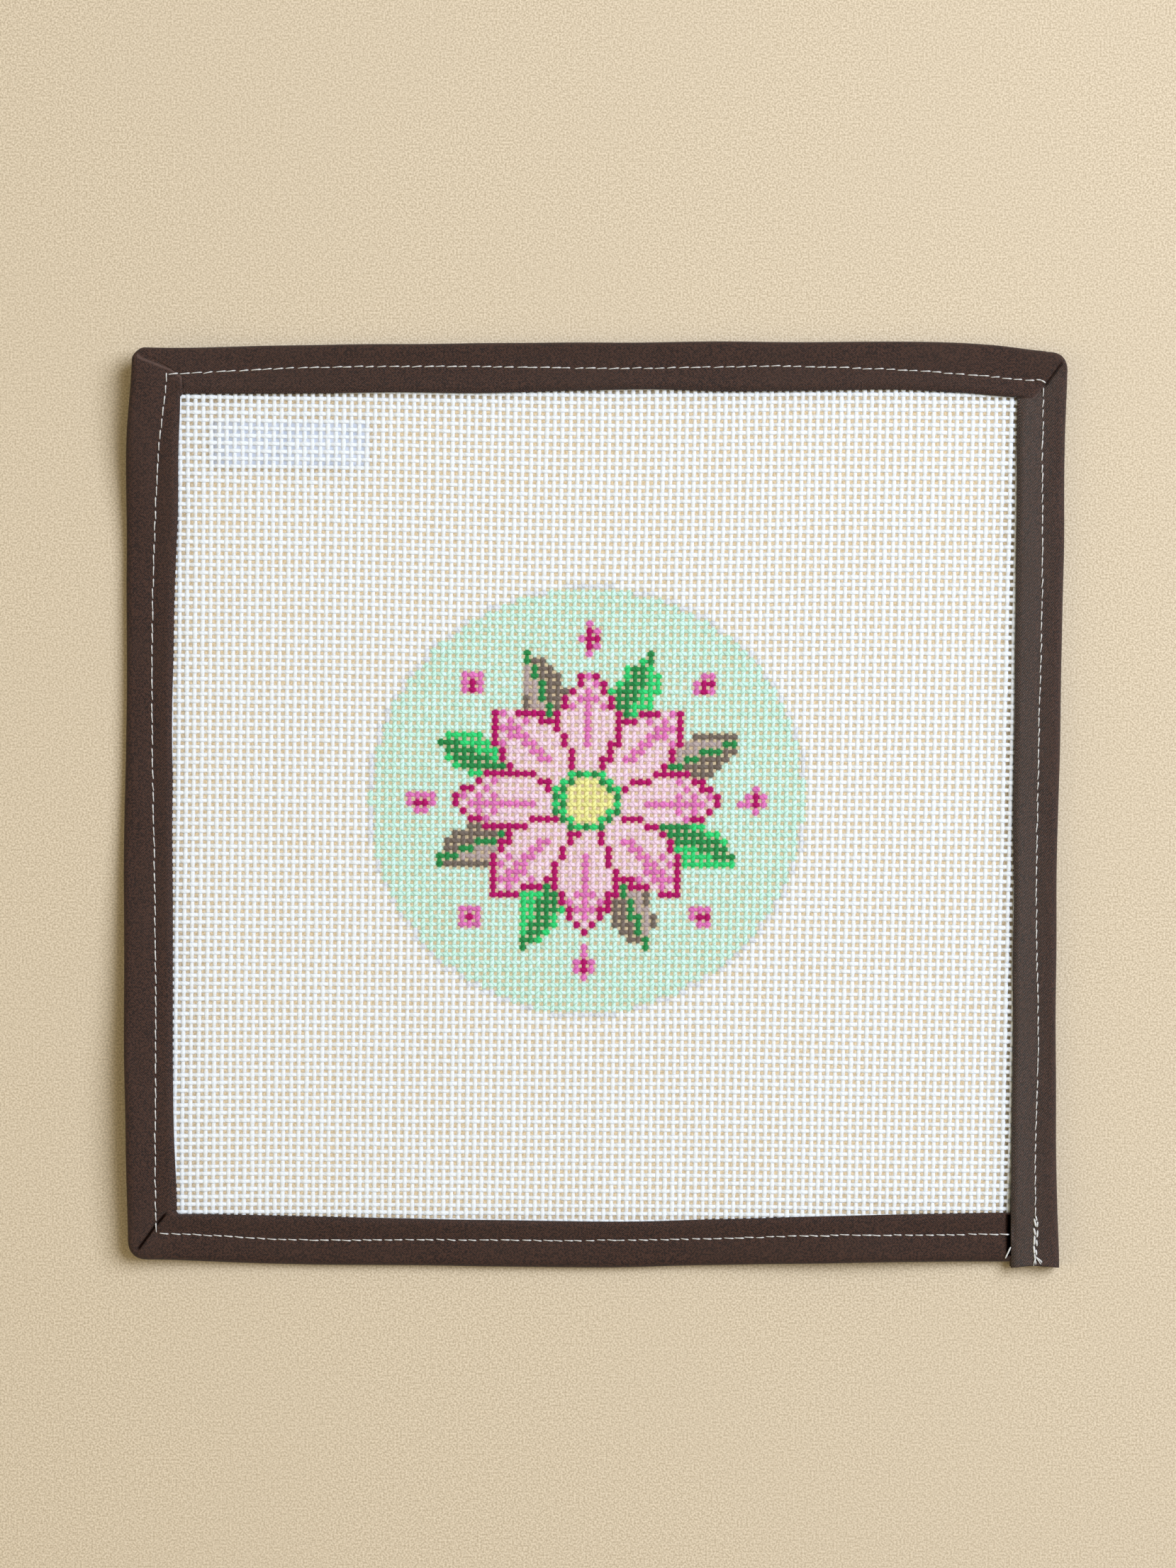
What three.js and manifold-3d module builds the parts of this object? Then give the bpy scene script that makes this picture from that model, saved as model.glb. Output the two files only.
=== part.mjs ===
// A needlepoint canvas panel, ready to be worked: a square of white open-weave canvas, 13 threads
// to the inch, bound all round with one length of folded bias tape, and a short blank label tape
// stuck to its back. Millimetres, +Z up. The panel lies face up, and the origin is on the surface
// under it, below the middle of its outline.
import * as THREE from "three";
import Module from "manifold-3d";
import { mergeVertices } from "three/addons/utils/BufferGeometryUtils.js";

const wasm = await Module();
wasm.setup();

// Driving dimensions
const CANVAS_THICK = 1.0; // two threads lie on each other at a crossing
const LEAF_THICK = 1.0; // each leaf of the tape is cloth folded double
const FOLD_WALL = 1.5; // the tape's thickness behind its outer fold
const CLEARANCE = 0.35; // between the canvas and whatever lies against it
const CANVAS_INSET = 3.6; // the canvas's cut edge lies this far inside the fold
const SEAM_DIP = 0.3; // how far the row of sewing draws the tape in
const MITRE_DIP = 0.35; // depth of the crease at a folded corner
const INNER_CORNER = 0.8;
const SIDE_STATIONS = 24;
const CORNER_STATIONS = 5;
const CANVAS_CELLS = 26;

// The corners are where the two sides' edges, at this place on each, would meet.
const TAPE_REACH = 112;

// The tape starts under its own end at the lower right corner.
const TAPE_START_X = 115.0;
const TAPE_END_Y = -117.5;
const LAP_RISE = 0.9; // the end lies over the start
const LAP_FROM_Y = -84;
const LAP_FULL_Y = -102;

// The outer corners are blunt: how far from where its sides would meet each one begins to turn.
const OUTER_CORNERS = { lowerLeft: 5.0, upperLeft: 6.4, upperRight: 4.6 };

// Heights in a section through the bound edge, from the surface up
const SLOT_LOW = LEAF_THICK;
const SLOT_HIGH = SLOT_LOW + CANVAS_THICK + 2 * CLEARANCE;
const TAPE_TOP = SLOT_HIGH + LEAF_THICK;

const LABEL = { x: -77.6, y: 91.7, width: 40, height: 12, thick: 0.7 };

// The tape along each side. at is the place along the side, outer and inner are the distances of the
// tape's two edges from the middle of the panel, and seam is how far in from the outer edge the
// sewing runs.
const SIDES = {
  left: [
    { at: -110, outer: 118.4, inner: 106.1, seam: 7.0 },
    { at: -84, outer: 118.9, inner: 106.9, seam: 7.5 },
    { at: -52, outer: 119.4, inner: 107.1, seam: 8.0 },
    { at: -19, outer: 119.7, inner: 107.4, seam: 7.8 },
    { at: 14, outer: 119.5, inner: 107.4, seam: 6.9 },
    { at: 57, outer: 119.1, inner: 106.8, seam: 6.7 },
    { at: 89, outer: 118.8, inner: 106.0, seam: 8.0 },
    { at: 110, outer: 117.2, inner: 105.2, seam: 8.6 },
  ],
  top: [
    { at: -112, outer: 115.5, inner: 103.7, seam: 6.8 },
    { at: -79, outer: 116.4, inner: 104.2, seam: 5.9 },
    { at: -36, outer: 116.9, inner: 104.4, seam: 5.9 },
    { at: 7, outer: 117.4, inner: 105.0, seam: 6.9 },
    { at: 50, outer: 117.4, inner: 104.9, seam: 6.4 },
    { at: 79, outer: 117.5, inner: 105.1, seam: 7.5 },
    { at: 97, outer: 116.6, inner: 104.3, seam: 7.9 },
    { at: 114, outer: 114.9, inner: 103.0, seam: 7.6 },
  ],
  right: [
    { at: -117.5, outer: 117.3, inner: 104.9, seam: 6.0 },
    { at: -95, outer: 116.9, inner: 105.1, seam: 5.7 },
    { at: -62, outer: 116.8, inner: 105.6, seam: 4.8 },
    { at: -30, outer: 116.9, inner: 105.7, seam: 5.3 },
    { at: 13, outer: 117.7, inner: 106.0, seam: 5.6 },
    { at: 57, outer: 118.7, inner: 106.5, seam: 5.6 },
    { at: 89, outer: 118.9, inner: 106.7, seam: 5.8 },
    { at: 112, outer: 119.6, inner: 106.9, seam: 6.2 },
  ],
  bottom: [
    { at: -112, outer: 115.3, inner: 103.6, seam: 6.7 },
    { at: -79, outer: 116.7, inner: 104.6, seam: 6.3 },
    { at: -36, outer: 117.1, inner: 105.3, seam: 6.6 },
    { at: -4, outer: 117.6, inner: 105.9, seam: 6.9 },
    { at: 29, outer: 117.1, inner: 105.2, seam: 6.9 },
    { at: 61, outer: 116.3, inner: 104.4, seam: 7.1 },
    { at: 83, outer: 116.0, inner: 103.9, seam: 6.8 },
    { at: 110, outer: 116.0, inner: 103.5, seam: 7.0 },
  ],
};

// The stiff canvas doesn't lie dead flat: two stretches of its edge and its two left corners curl off
// the surface. Each lift is highest at the edge and fades to nothing at the depth given, and at both
// of its ends.
const LIFTS = [
  { edge: "left", middle: -52, halfLength: 62, depth: 62, height: 3.2 },
  { edge: "bottom", middle: 66, halfLength: 47, depth: 46, height: 2.0 },
  { edge: "left", middle: -98, halfLength: 60, depth: 46, height: 4.0 },
  { edge: "left", middle: 112, halfLength: 52, depth: 44, height: 5.0 },
];

const smooth = (t) => THREE.MathUtils.smoothstep(t, 0, 1);

// A function that gives a side's outer, inner and seam at any place along it.
function sideTable(rows) {
  const values = rows.flatMap((row) => [row.outer, row.inner, row.seam]);
  const places = rows.map((row) => row.at);
  const table = new THREE.CubicInterpolant(places, values, 3);
  return (at) => {
    const [outer, inner, seam] = table.evaluate(at);
    return { outer, inner, seam };
  };
}

const side = Object.fromEntries(
  Object.entries(SIDES).map(([name, rows]) => [name, sideTable(rows)]),
);

// Which way a side faces: out points away from the middle, and along is the way that at grows.
const FACING = {
  left: { out: new THREE.Vector2(-1, 0), along: new THREE.Vector2(0, 1) },
  top: { out: new THREE.Vector2(0, 1), along: new THREE.Vector2(1, 0) },
  right: { out: new THREE.Vector2(1, 0), along: new THREE.Vector2(0, 1) },
  bottom: { out: new THREE.Vector2(0, -1), along: new THREE.Vector2(1, 0) },
};

// The point at a place along a side, on its outer or inner edge or a distance in from the outer one.
function edgePoint(name, at, edge, inset = 0) {
  const { out, along } = FACING[name];
  const distance = side[name](at)[edge] - inset;
  return new THREE.Vector2()
    .addScaledVector(out, distance)
    .addScaledVector(along, at);
}

// Where two sides' edges cross: each side is followed to the end of its table, then straight on.
function cornerPoint(upright, level, edge, inset = 0) {
  const signX = FACING[upright].out.x;
  const signY = FACING[level].out.y;
  const x = signX * (side[upright](signY * TAPE_REACH)[edge] - inset);
  const y = signY * (side[level](signX * TAPE_REACH)[edge] - inset);
  return new THREE.Vector2(x, y);
}

// How far the panel stands off the surface at a point.
function lift(p) {
  return LIFTS.reduce((sum, { edge, middle, halfLength, depth, height }) => {
    const { out, along } = FACING[edge];
    const at = along.dot(p);
    const inward = side[edge](at).outer - out.dot(p);
    const fromMiddle = THREE.MathUtils.clamp((at - middle) / halfLength, -1, 1);
    const ends = Math.cos((Math.PI / 2) * fromMiddle);
    const curl = THREE.MathUtils.clamp(1 - inward / depth, 0, 1);
    return sum + height * ends ** 2 * curl ** 2;
  }, 0);
}

// The tape's section as a loop of points: across runs from the outer fold, 0, to the inner edges, 1,
// rise says how far the lap raises the point, and crease how far a mitre draws it down.
function section(width, seam, lap, mitre) {
  const wall = FOLD_WALL / width;
  const sewn = seam / width;
  const points = [
    { across: 0.97, z: 0, rise: 0, crease: 0 },
    { across: sewn + 0.12, z: 0, rise: 0, crease: 0 },
    { across: sewn, z: SEAM_DIP / 2, rise: 0, crease: 0 },
    { across: sewn - 0.12, z: 0, rise: 0, crease: 0 },
    { across: 0.16, z: 0, rise: 0, crease: 0 },
    { across: 0.05, z: 0.35, rise: 0, crease: 0 },
    { across: 0.0, z: TAPE_TOP * 0.42, rise: 0.4, crease: 0 },
    { across: 0.015, z: TAPE_TOP * 0.68, rise: 0.7, crease: 0 },
    { across: 0.06, z: TAPE_TOP - 0.35, rise: 1, crease: 0.3 },
    { across: 0.16, z: TAPE_TOP - 0.05, rise: 1, crease: 1 },
    { across: (0.16 + sewn) / 2, z: TAPE_TOP, rise: 1, crease: 1 },
    { across: sewn, z: TAPE_TOP - SEAM_DIP, rise: 1, crease: 1 },
    { across: (1 + sewn) / 2, z: TAPE_TOP, rise: 1, crease: 1 },
    { across: 0.96, z: TAPE_TOP - 0.1, rise: 1, crease: 1 },
    { across: 1.0, z: TAPE_TOP - 0.4, rise: 1, crease: 0.5 },
    { across: 1.0, z: SLOT_HIGH, rise: 1, crease: 0 },
    { across: wall, z: SLOT_HIGH, rise: 1, crease: 0 },
    { across: wall, z: SLOT_LOW, rise: 0, crease: 0 },
    { across: 1.0, z: SLOT_LOW, rise: 0, crease: 0 },
    { across: 1.0, z: 0.3, rise: 0, crease: 0 },
  ];
  return points.map(({ across, z, rise, crease }) => ({
    across,
    z: z + rise * lap - crease * mitre,
  }));
}

// How far the tape's end has climbed over its start at a place on the right side.
const lapAt = (y) =>
  LAP_RISE * smooth((LAP_FROM_Y - y) / (LAP_FROM_Y - LAP_FULL_Y));

// One cross-cut of the tape: a loop of points in space between its outer and its inner edge.
function station({ outer, inner, seam, width, lap = 0, mitre = 0 }) {
  return section(width, seam, lap, mitre).map(({ across, z }) => {
    const p = outer.clone().lerp(inner, across);
    return new THREE.Vector3(p.x, p.y, z + lift(p));
  });
}

// The stations along a side, between two places for each edge. The ends of the two edges differ at a
// mitred corner, where the outer edge runs further than the inner one.
function stationsAlong(name, outerEnds, innerEnds, lapped = false) {
  const made = [];
  for (let i = 0; i <= SIDE_STATIONS; i++) {
    const outerAt = THREE.MathUtils.lerp(...outerEnds, i / SIDE_STATIONS);
    const innerAt = THREE.MathUtils.lerp(...innerEnds, i / SIDE_STATIONS);
    const { outer, inner, seam } = side[name]((outerAt + innerAt) / 2);
    made.push(
      station({
        outer: edgePoint(name, outerAt, "outer"),
        inner: edgePoint(name, innerAt, "inner"),
        seam,
        width: outer - inner,
        lap: lapped ? lapAt(outerAt) : 0,
      }),
    );
  }
  return made;
}

// The stations round a folded corner, from one side's last to the next one's first, both left out.
// Both edges turn on a curve, and the crease is deepest half way round.
function stationsRound(upright, level, outerCurve, innerCurve) {
  const made = [];
  for (let i = 1; i <= CORNER_STATIONS; i++) {
    const t = i / (CORNER_STATIONS + 1);
    const nearEnd = side[upright](FACING[level].out.y * TAPE_REACH);
    made.push(
      station({
        outer: outerCurve.getPoint(t),
        inner: innerCurve.getPoint(t),
        seam: nearEnd.seam,
        width: nearEnd.outer - nearEnd.inner,
        mitre: 2 * i === CORNER_STATIONS + 1 ? MITRE_DIP : 0,
      }),
    );
  }
  return made;
}

// A blunt corner: a curve that leaves one edge and joins the next, the cut away from where they meet.
function bluntCorner(first, second, edge, cut) {
  const upright = FACING[first].out.x ? first : second;
  const level = upright === first ? second : first;
  const corner = cornerPoint(upright, level, edge);
  const cutEnd = (name, other) => {
    const { along } = FACING[name];
    const at = along.dot(corner) - along.dot(FACING[other].out) * cut;
    return { at, point: edgePoint(name, at, edge) };
  };
  const start = cutEnd(first, second);
  const end = cutEnd(second, first);
  const curve = new THREE.QuadraticBezierCurve(start.point, corner, end.point);
  return { curve, start: start.at, end: end.at };
}

// A closed solid from a row of equal loops, each joined to the next, with a flat cap at both ends.
// The section's loop runs clockwise, and its triangles come back the other way round.
function loft(loops, capPlane) {
  const size = loops[0].length;
  const triangles = [];
  for (let i = 0; i + 1 < loops.length; i++) {
    for (let j = 0; j < size; j++) {
      const a = i * size + j;
      const b = i * size + ((j + 1) % size);
      triangles.push([a, a + size, b], [b, a + size, b + size]);
    }
  }
  const last = (loops.length - 1) * size;
  for (const [a, b, c] of THREE.ShapeUtils.triangulateShape(capPlane, [])) {
    triangles.push([c, b, a], [last + a, last + b, last + c]);
  }
  return solidFrom(loops.flat(), triangles);
}

// The same in either winding: a solid whose volume comes out negative is turned inside out.
function solidFrom(points, triangles) {
  const build = (faces) =>
    new wasm.Manifold(
      new wasm.Mesh({
        numProp: 3,
        vertProperties: new Float32Array(points.flatMap((p) => p.toArray())),
        triVerts: new Uint32Array(faces.flat()),
      }),
    );
  const made = build(triangles);
  return made.volume() > 0 ? made : build(triangles.map((t) => t.toReversed()));
}

function geometryOf(solid) {
  const { vertProperties, triVerts, numProp } = solid.getMesh();
  const geometry = new THREE.BufferGeometry();
  geometry.setAttribute(
    "position",
    new THREE.BufferAttribute(vertProperties, numProp),
  );
  geometry.setIndex(new THREE.BufferAttribute(triVerts, 1));
  return mergeVertices(geometry);
}

// The binding: up the left side, over the top, down the right side and back along the bottom.
function bindingTape() {
  const { outer, inner, seam } = side.right(0);
  const width = outer - inner;
  const capPlane = section(width, seam, 0, 0).map(
    ({ across, z }) => new THREE.Vector2(across * width, z),
  );
  const turn = (first, second, cut) => ({
    outer: bluntCorner(first, second, "outer", cut),
    inner: bluntCorner(first, second, "inner", INNER_CORNER),
  });
  const lowerLeft = turn("bottom", "left", OUTER_CORNERS.lowerLeft);
  const upperLeft = turn("left", "top", OUTER_CORNERS.upperLeft);
  const upperRight = turn("top", "right", OUTER_CORNERS.upperRight);
  const run = [
    ...stationsAlong(
      "bottom",
      [TAPE_START_X, lowerLeft.outer.start],
      [TAPE_START_X, lowerLeft.inner.start],
    ),
    ...stationsRound("left", "bottom", lowerLeft.outer.curve, lowerLeft.inner.curve),
    ...stationsAlong(
      "left",
      [lowerLeft.outer.end, upperLeft.outer.start],
      [lowerLeft.inner.end, upperLeft.inner.start],
    ),
    ...stationsRound("left", "top", upperLeft.outer.curve, upperLeft.inner.curve),
    ...stationsAlong(
      "top",
      [upperLeft.outer.end, upperRight.outer.start],
      [upperLeft.inner.end, upperRight.inner.start],
    ),
    ...stationsRound("right", "top", upperRight.outer.curve, upperRight.inner.curve),
  ];
  const down = stationsAlong(
    "right",
    [upperRight.outer.end, TAPE_END_Y],
    [upperRight.inner.end, TAPE_END_Y],
    true,
  );
  // Two lofts, because the end of the tape overlaps its start. They share one station, at the head
  // of the right side.
  return loft([...run, down[0]], capPlane).add(loft(down, capPlane));
}

// The canvas: a sheet whose cut edges lie in the fold of the tape, blended between its four sides.
function canvasSheet() {
  const corner = (upright, level) =>
    cornerPoint(upright, level, "outer", CANVAS_INSET);
  const corners = {
    lowLeft: corner("left", "bottom"),
    lowRight: corner("right", "bottom"),
    highLeft: corner("left", "top"),
    highRight: corner("right", "top"),
  };
  const cut = (name, from, to, t) =>
    edgePoint(name, THREE.MathUtils.lerp(from, to, t), "outer", CANVAS_INSET);
  const place = (u, v) => {
    const { lowLeft, lowRight, highLeft, highRight } = corners;
    const low = cut("bottom", lowLeft.x, lowRight.x, u);
    const high = cut("top", highLeft.x, highRight.x, u);
    const left = cut("left", lowLeft.y, highLeft.y, v);
    const right = cut("right", lowRight.y, highRight.y, v);
    const acrossBlend = left.clone().lerp(right, u);
    const upBlend = low.clone().lerp(high, v);
    const cornerBlend = lowLeft
      .clone()
      .lerp(lowRight, u)
      .lerp(highLeft.clone().lerp(highRight, u), v);
    return acrossBlend.add(upBlend).sub(cornerBlend);
  };
  const perSide = CANVAS_CELLS + 1;
  const points = [];
  for (const z of [SLOT_LOW + CLEARANCE, SLOT_LOW + CLEARANCE + CANVAS_THICK]) {
    for (let j = 0; j < perSide; j++) {
      for (let i = 0; i < perSide; i++) {
        const p = place(i / CANVAS_CELLS, j / CANVAS_CELLS);
        points.push(new THREE.Vector3(p.x, p.y, z + lift(p)));
      }
    }
  }
  const at = (i, j, layer) => (layer * perSide + j) * perSide + i;
  const triangles = [];
  for (let j = 0; j < CANVAS_CELLS; j++) {
    for (let i = 0; i < CANVAS_CELLS; i++) {
      const face = (layer) => [
        at(i, j, layer),
        at(i + 1, j, layer),
        at(i + 1, j + 1, layer),
        at(i, j + 1, layer),
      ];
      const [a, b, c, d] = face(1);
      const [e, f, g, h] = face(0);
      triangles.push([a, b, c], [a, c, d], [e, g, f], [e, h, g]);
    }
  }
  for (let k = 0; k < CANVAS_CELLS; k++) {
    for (const [i, j, m, n] of [
      [k, 0, k + 1, 0],
      [CANVAS_CELLS, k, CANVAS_CELLS, k + 1],
      [k + 1, CANVAS_CELLS, k, CANVAS_CELLS],
      [0, k + 1, 0, k],
    ]) {
      const [a, b, c, d] = [at(i, j, 0), at(m, n, 0), at(m, n, 1), at(i, j, 1)];
      triangles.push([a, b, c], [a, c, d]);
    }
  }
  return solidFrom(points, triangles);
}

function mesh(name, geometry, color, roughness) {
  const material = new THREE.MeshStandardMaterial({
    color,
    roughness,
    metalness: 0,
    side: THREE.FrontSide,
  });
  const made = new THREE.Mesh(geometry, material);
  made.name = name;
  return made;
}

const panel = new THREE.Group();
panel.add(mesh("canvas", geometryOf(canvasSheet()), 0xf1f2f0, 0.9));
panel.add(mesh("binding_tape", geometryOf(bindingTape()), 0x45372f, 0.8));

const label = mesh(
  "label_tape",
  new THREE.BoxGeometry(LABEL.width, LABEL.height, LABEL.thick),
  0xeceeee,
  0.5,
);
label.position.set(LABEL.x, LABEL.y, SLOT_LOW - LABEL.thick / 2);
panel.add(label);

export default panel;
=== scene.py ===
# %% [markdown]
# # A needlepoint canvas panel
#
# The real thing is a square of stiff white canvas, woven with 13 threads to the inch and left open
# between them. Its cut edges are bound in brown bias tape, sewn on by machine, and a round design
# is painted on it, one crossing of the threads at a time. Here each thread is made as a thread,
# the tape as one long folded strip, and each stitch as a stitch, so that the panel holds up close.
#
# The CAD frame comes first: it says where every piece lies, and nothing here moves it.

# %% The frame
import math

import bpy
import numpy as np
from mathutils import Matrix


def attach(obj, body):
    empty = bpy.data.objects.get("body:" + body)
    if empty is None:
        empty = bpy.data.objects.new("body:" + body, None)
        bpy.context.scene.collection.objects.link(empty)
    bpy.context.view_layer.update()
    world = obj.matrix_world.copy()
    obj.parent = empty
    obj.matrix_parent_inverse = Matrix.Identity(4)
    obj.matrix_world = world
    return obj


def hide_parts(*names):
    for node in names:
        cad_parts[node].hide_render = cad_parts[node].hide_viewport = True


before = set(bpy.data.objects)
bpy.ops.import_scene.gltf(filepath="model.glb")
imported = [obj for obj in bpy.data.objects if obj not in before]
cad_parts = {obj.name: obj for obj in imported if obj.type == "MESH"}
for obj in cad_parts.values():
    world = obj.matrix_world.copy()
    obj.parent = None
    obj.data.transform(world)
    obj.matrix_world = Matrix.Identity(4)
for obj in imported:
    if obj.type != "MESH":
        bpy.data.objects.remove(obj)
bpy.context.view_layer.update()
print("CAD nodes:", sorted(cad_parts))

# %% [markdown]
# ## The camera
#
# The panel is looked at from straight above. A long lens far away keeps its sides parallel, so
# that the little the edges stand up hides nothing. The camera's place is worked out from how much
# of the table the picture takes in.

# %% Camera
MM = 0.001
VIEW_HEIGHT = 398.2 * MM  # what the picture's long side takes in, at the height of the canvas
VIEW_MIDDLE = (-2.1 * MM, 5.1 * MM)
CANVAS_Z = 1.85  # mm, the height of the middle of the canvas where it lies flat

lens = bpy.data.cameras.new("camera")
lens.lens, lens.sensor_width = 80, 36
camera = bpy.data.objects.new("camera", lens)
bpy.context.scene.collection.objects.link(camera)
distance = VIEW_HEIGHT * lens.lens / lens.sensor_width
camera.location = (*VIEW_MIDDLE, distance + CANVAS_Z * MM)
bpy.context.scene.camera = camera
print(f"camera {distance:.3f} m above the canvas")

# %% [markdown]
# ## The panel's own outline
#
# Nothing on a hand-bound panel is quite straight: each side bows by a millimetre or so, and the
# tape is a little wider in one place than in another. Four short tables hold that, and a smooth
# curve through their rows gives the tape's two edges and its row of stitching anywhere between.

# %% Tables of the four sides
# Each row: the place along the side, then how far from the panel's middle the tape's outer and
# inner edges run, and how far in from the outer edge the stitching runs. All in mm.
SIDES = {
    "bottom": [
        (-112, 115.3, 103.6, 6.7), (-79, 116.7, 104.6, 6.3), (-36, 117.1, 105.3, 6.6),
        (-4, 117.6, 105.9, 6.9), (29, 117.1, 105.2, 6.9), (61, 116.3, 104.4, 7.1),
        (83, 116.0, 103.9, 6.8), (110, 116.0, 103.5, 7.0),
    ],
    "left": [
        (-110, 118.4, 106.1, 7.0), (-84, 118.9, 106.9, 7.5), (-52, 119.4, 107.1, 8.0),
        (-19, 119.7, 107.4, 7.8), (14, 119.5, 107.4, 6.9), (57, 119.1, 106.8, 6.7),
        (89, 118.8, 106.0, 8.0), (110, 117.2, 105.2, 8.6),
    ],
    "top": [
        (-112, 115.5, 103.7, 6.8), (-79, 116.4, 104.2, 5.9), (-36, 116.9, 104.4, 5.9),
        (7, 117.4, 105.0, 6.9), (50, 117.4, 104.9, 6.4), (79, 117.5, 105.1, 7.5),
        (97, 116.6, 104.3, 7.9), (114, 114.9, 103.0, 7.6),
    ],
    "right": [
        (-117.5, 117.3, 104.9, 6.0), (-95, 116.9, 105.1, 5.7), (-62, 116.8, 105.6, 4.8),
        (-30, 116.9, 105.7, 5.3), (13, 117.7, 106.0, 5.6), (57, 118.7, 106.5, 5.6),
        (89, 118.9, 106.7, 5.8), (112, 119.6, 106.9, 6.2),
    ],
}
OUTER, INNER, SEAM = 1, 2, 3
OUT = {"bottom": (0, -1), "left": (-1, 0), "top": (0, 1), "right": (1, 0)}
ALONG = {"bottom": (1, 0), "left": (0, 1), "top": (1, 0), "right": (0, 1)}


def read_side(side, column, at):
    """A column of a side's table at any places: a cubic through its rows, which passes each row at
    the mean slope of the lines on either side of it, and is level past its two ends."""
    rows = np.array(SIDES[side], float)
    x, y = rows[:, 0], rows[:, column]
    lines = np.diff(y) / np.diff(x)
    slope = np.concatenate([[0], (lines[1:] + lines[:-1]) / 2, [0]])
    at = np.clip(at, x[0], x[-1])
    k = np.clip(np.searchsorted(x, at, side="right") - 1, 0, len(x) - 2)
    gap = x[k + 1] - x[k]
    t = (at - x[k]) / gap
    start = (2 * t**3 - 3 * t**2 + 1) * y[k] + (t**3 - 2 * t**2 + t) * gap * slope[k]
    return start + (3 * t**2 - 2 * t**3) * y[k + 1] + (t**3 - t**2) * gap * slope[k + 1]


def side_point(side, at, reach):
    """The point at a place along a side and a distance out from the middle, as (..., 2)."""
    at, reach = np.broadcast_arrays(at, reach)
    return at[..., None] * np.array(ALONG[side]) + reach[..., None] * np.array(OUT[side])


CURLS = [  # the side, the place along it, half its length, how far in it goes and its height, in mm
    ("left", -52, 62, 62, 3.2),
    ("bottom", 66, 47, 46, 2.0),
    ("left", -98, 60, 46, 4.0),
    ("left", 112, 52, 44, 5.0),
]


def lift(x, y):
    """How far the panel stands off the table, in mm: two stretches of its edge curl up, and so do
    its two left corners. Along the edge a curl is a squared cosine, and inwards it falls as the
    square of what is left of its depth."""
    total = np.zeros(np.broadcast(x, y).shape)
    for side, middle, half_length, depth, height in CURLS:
        at = x * ALONG[side][0] + y * ALONG[side][1]
        inward = read_side(side, OUTER, at) - (x * OUT[side][0] + y * OUT[side][1])
        ends = np.cos(np.pi / 2 * np.clip((at - middle) / half_length, -1, 1)) ** 2
        total = total + height * ends * np.clip(1 - inward / depth, 0, 1) ** 2
    return total


left_edge = read_side("left", OUTER, np.arange(-110, 111))
print("the left side bows out by", round(float(np.ptp(left_edge)), 1), "mm")

# %% [markdown]
# ## From arrays to meshes
#
# Every surface below is worked out as whole arrays of points. This helper puts them into a mesh.
# Faces come as arrays of corner numbers, one array for each number of corners, and a piece may
# carry a map (a place on the cloth for each corner of each face) and a colour for each point.


# %% A mesh from arrays
def make_piece(name, points, faces, material, cloth_map=None, paint=None):
    """One object at the origin from points in mm, an (n, 3) array, and faces, a list of (m, k)
    arrays. cloth_map is a list of (m, k, 2) arrays that matches faces."""
    mesh = bpy.data.meshes.new(name)
    corners = np.concatenate([group.ravel() for group in faces]).astype(np.int32)
    sizes = np.concatenate([np.full(len(group), group.shape[1]) for group in faces])
    starts = np.concatenate([[0], np.cumsum(sizes)[:-1]]).astype(np.int32)
    mesh.vertices.add(len(points))
    mesh.vertices.foreach_set("co", (points * MM).astype(np.float32).ravel())
    mesh.loops.add(len(corners))
    mesh.loops.foreach_set("vertex_index", corners)
    mesh.polygons.add(len(sizes))
    mesh.polygons.foreach_set("loop_start", starts)
    mesh.update(calc_edges=True)
    mesh.shade_smooth()
    if cloth_map is not None:
        places = np.concatenate([group.reshape(-1, 2) for group in cloth_map])
        layer = mesh.uv_layers.new(name="cloth")
        layer.data.foreach_set("uv", places.astype(np.float32).ravel())
    if paint is not None:
        layer = mesh.color_attributes.new("paint", "FLOAT_COLOR", "POINT")
        layer.data.foreach_set("color", paint.astype(np.float32).ravel())
    mesh.materials.append(material)
    piece = bpy.data.objects.new(name, mesh)
    bpy.context.scene.collection.objects.link(piece)
    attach(piece, "root")
    triangles = int((sizes - 2).sum())
    print(f"{name}: {len(points)} points, {triangles} triangles")
    return piece


def tube_faces(tubes, rings, sides):
    """Faces of many equal tubes, whose points are numbered tube by tube, ring by ring, side by
    side: the quads of the walls, and one face for each end."""
    point = np.arange(tubes * rings * sides).reshape(tubes, rings, sides)
    beside = np.roll(point, -1, axis=2)
    walls = np.stack([point[:, :-1], point[:, 1:], beside[:, 1:], beside[:, :-1]], axis=-1)
    return walls.reshape(-1, 4), point[:, 0], point[:, -1, ::-1]


def smooth_step(t):
    """0 below 0, 1 above 1, and the cubic with level ends between."""
    t = np.clip(t, 0, 1)
    return t * t * (3 - 2 * t)


def soft_noise(seed, shape, reach):
    """Random numbers that change slowly along the last axis: white noise averaged with a bell
    curve, reach steps wide, and brought back to a spread of about 1."""
    width = int(3 * reach)
    bell = np.exp(-0.5 * (np.arange(-width, width + 1) / reach) ** 2)
    bell /= np.sqrt((bell**2).sum())
    rough = np.random.default_rng(seed).standard_normal((*shape[:-1], shape[-1] + 2 * width))
    smooth = [np.convolve(row, bell, mode="valid") for row in rough.reshape(-1, rough.shape[-1])]
    return np.array(smooth).reshape(shape)


# %% [markdown]
# ## Colours and shader nodes
#
# Colours are written as they look on a screen, from 0 to 255, and turned into the light values
# that the renderer counts in. The small helpers below add a node and join its inputs in one line,
# so that a material reads like its formula.


# %% Helpers for materials
def light(*screen):
    """Screen colour to light: the sRGB curve, undone."""
    s = np.array(screen) / 255
    return np.where(s <= 0.04045, s / 12.92, ((s + 0.055) / 1.055) ** 2.4)


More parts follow.
